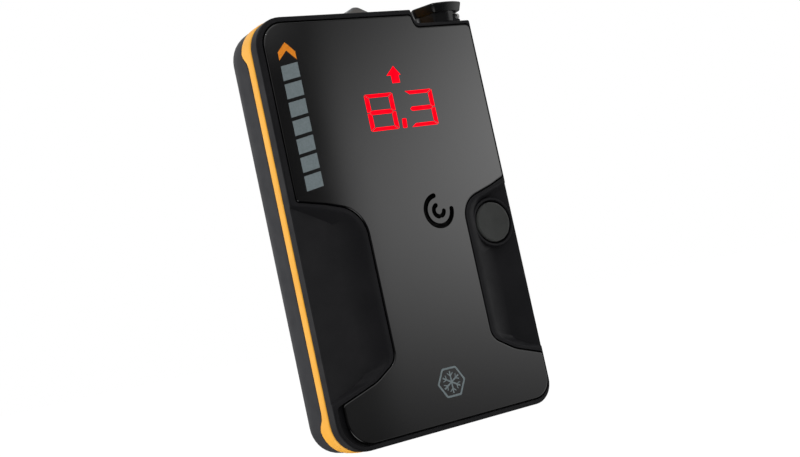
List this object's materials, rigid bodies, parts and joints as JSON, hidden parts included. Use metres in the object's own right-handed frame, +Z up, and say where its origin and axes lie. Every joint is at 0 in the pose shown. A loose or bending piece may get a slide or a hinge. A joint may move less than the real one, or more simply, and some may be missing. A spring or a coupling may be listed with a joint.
{
  "type": "avalanche transceiver",
  "caption": "Slim hand-held rescue beacon with a smoked face plate, lit distance display, side grip scoops, thumb button and a turning selector on its top corner.",
  "frame": {"origin": "centre of the bounding box's underside, with the transceiver standing on its bottom end", "axes": "+Z up the long side of the case, -Y out of the display side, +X to the right as seen from the display side"},
  "size_m": [0.07, 0.023, 0.119],
  "materials": {
    "front_plastic": "fine-textured black plastic",
    "smoked_plate": "smoked, glossy",
    "trim_orange": "satin",
    "shell_plastic": "fine-textured dark grey plastic",
    "seal_rubber": "matt",
    "steel": "plated",
    "lug_grey": "satin",
    "cell_sleeve": "metallic printed sleeve with no marks",
    "board_green": "solder mask",
    "chip_black": "moulded",
    "display_white": "matt white reflector",
    "display_red": "lit light guides",
    "brass": "plated disc",
    "button_rubber": "matt",
    "ferrite": "sintered, matt",
    "copper": "enamelled copper wire",
    "lock_pale": "satin"
  },
  "bodies": {
    "case": {"front_case": "front_plastic", "lock_housing": "front_plastic", "face_plate": "smoked_plate", "trim_band": "trim_orange", "rear_case": "shell_plastic", "case_gasket": "seal_rubber", "door_gasket": "seal_rubber", "button_seal": "seal_rubber", "selector_seal": "seal_rubber", "speaker_membrane": "seal_rubber", "case_screw_1": "steel", "case_screw_2": "steel", "case_screw_3": "steel", "case_screw_4": "steel", "board_screw_1": "steel", "board_screw_2": "steel", "door_hinge_pin": "steel", "contact_spring_1": "steel", "contact_spring_2": "steel", "contact_spring_3": "steel", "contact_plate_1": "steel", "contact_plate_2": "steel", "contact_plate_3": "steel", "crystal": "steel", "lock_spring": "steel", "leash_lug": "lug_grey", "battery_cell_1": "cell_sleeve", "battery_cell_2": "cell_sleeve", "battery_cell_3": "cell_sleeve", "capacitor": "cell_sleeve", "main_board": "board_green", "processor": "chip_black", "radio_chip": "chip_black", "tact_switch": "chip_black", "selector_switch": "chip_black", "display_block": "display_white", "digit_left": "display_red", "digit_right": "display_red", "decimal_point": "display_red", "direction_arrow": "display_red", "piezo_speaker": "brass", "long_antenna_core": "ferrite", "cross_antenna_core": "ferrite", "depth_antenna_core": "ferrite", "long_antenna_coil": "copper", "cross_antenna_coil": "copper", "depth_antenna_coil": "copper"},
    "selector": {"selector_knob": "front_plastic", "selector_shaft": "steel", "selector_screw": "steel", "selector_cam": "chip_black"},
    "lock": {"lock_button": "lock_pale"},
    "thumb": {"thumb_button": "button_rubber"},
    "door": {"battery_door": "shell_plastic"},
    "door_fastener": {"door_screw": "steel"}
  },
  "joints": [
    {"name": "selector_turn", "type": "hinge", "parent": "case", "child": "selector", "pos_m": [0.0291, -0.0043, 0.115], "axis": [0, 0, 1], "range_deg": [-100, 0]},
    {"name": "lock_press", "type": "slide", "parent": "case", "child": "lock", "axis": [-1, 0, 0], "range_m": [0, 0.0006], "stiffness_N_per_m": 500, "deforming": ["lock_spring"]},
    {"name": "thumb_press", "type": "slide", "parent": "case", "child": "thumb", "axis": [0, 1, 0], "range_m": [0, 0.0005], "stiffness_N_per_m": 1500},
    {"name": "door_open", "type": "hinge", "parent": "case", "child": "door", "pos_m": [0.0202, 0.01065, 0.04], "axis": [0, 0, -1], "range_deg": [0, 110]},
    {"name": "door_fastener_turn", "type": "hinge", "parent": "door", "child": "door_fastener", "pos_m": [-0.014, 0.01065, 0.0663], "axis": [0, 1, 0], "range_deg": [0, 90]}
  ]
}
